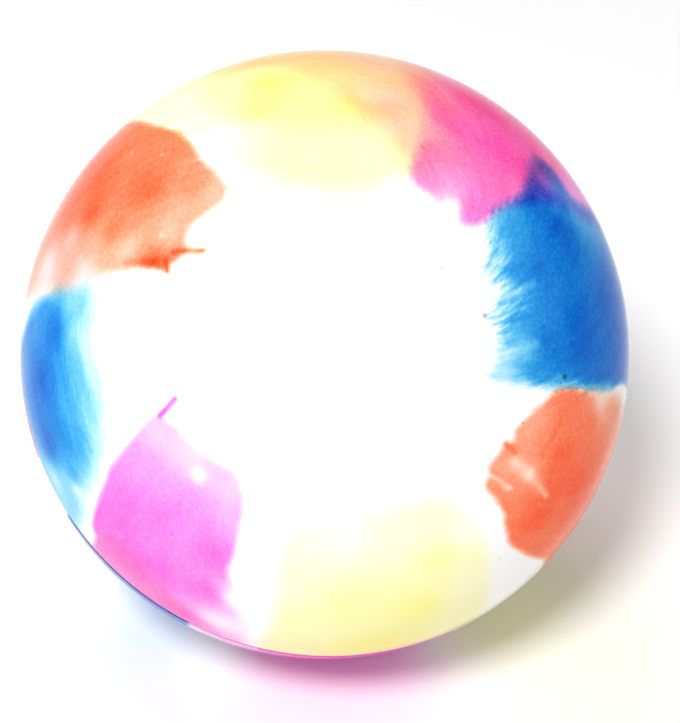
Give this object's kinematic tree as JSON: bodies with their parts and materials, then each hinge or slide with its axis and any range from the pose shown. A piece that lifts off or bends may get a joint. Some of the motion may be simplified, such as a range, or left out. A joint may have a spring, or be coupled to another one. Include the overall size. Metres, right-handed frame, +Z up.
{
  "type": "field hockey ball",
  "caption": "Smooth hard field hockey ball: white moulded half shells lapped at an equator seam, with coloured inlays and a light granulate core.",
  "frame": {"origin": "centre of the ball", "axes": "+Z up as the ball lies, -Y towards the viewer, +X to the viewer's right; the pole of the front half points up and forward"},
  "size_m": [0.0728, 0.0728, 0.073],
  "materials": {
    "white_cover": "smooth gloss moulded PVC",
    "yellow_inlay": "smooth gloss moulded PVC",
    "orange_inlay": "smooth gloss moulded PVC",
    "pink_inlay": "smooth gloss moulded PVC",
    "blue_inlay": "smooth gloss moulded PVC",
    "cork_core": "cork and rubber granulate"
  },
  "bodies": {
    "root": {"front_cover": "white_cover", "rear_cover": "white_cover", "front_right_blue_inlay": "blue_inlay", "front_upper_right_pink_inlay": "pink_inlay", "front_top_yellow_inlay": "yellow_inlay", "front_upper_left_orange_inlay": "orange_inlay", "front_left_blue_inlay": "blue_inlay", "front_lower_left_pink_inlay": "pink_inlay", "front_bottom_yellow_inlay": "yellow_inlay", "front_lower_right_orange_inlay": "orange_inlay", "rear_lower_left_blue_inlay": "blue_inlay", "rear_bottom_pink_inlay": "pink_inlay", "rear_lower_right_yellow_inlay": "yellow_inlay", "rear_right_orange_inlay": "orange_inlay", "rear_upper_right_blue_inlay": "blue_inlay", "rear_top_pink_inlay": "pink_inlay", "rear_upper_left_yellow_inlay": "yellow_inlay", "rear_left_orange_inlay": "orange_inlay", "core": "cork_core"}
  },
  "joints": []
}
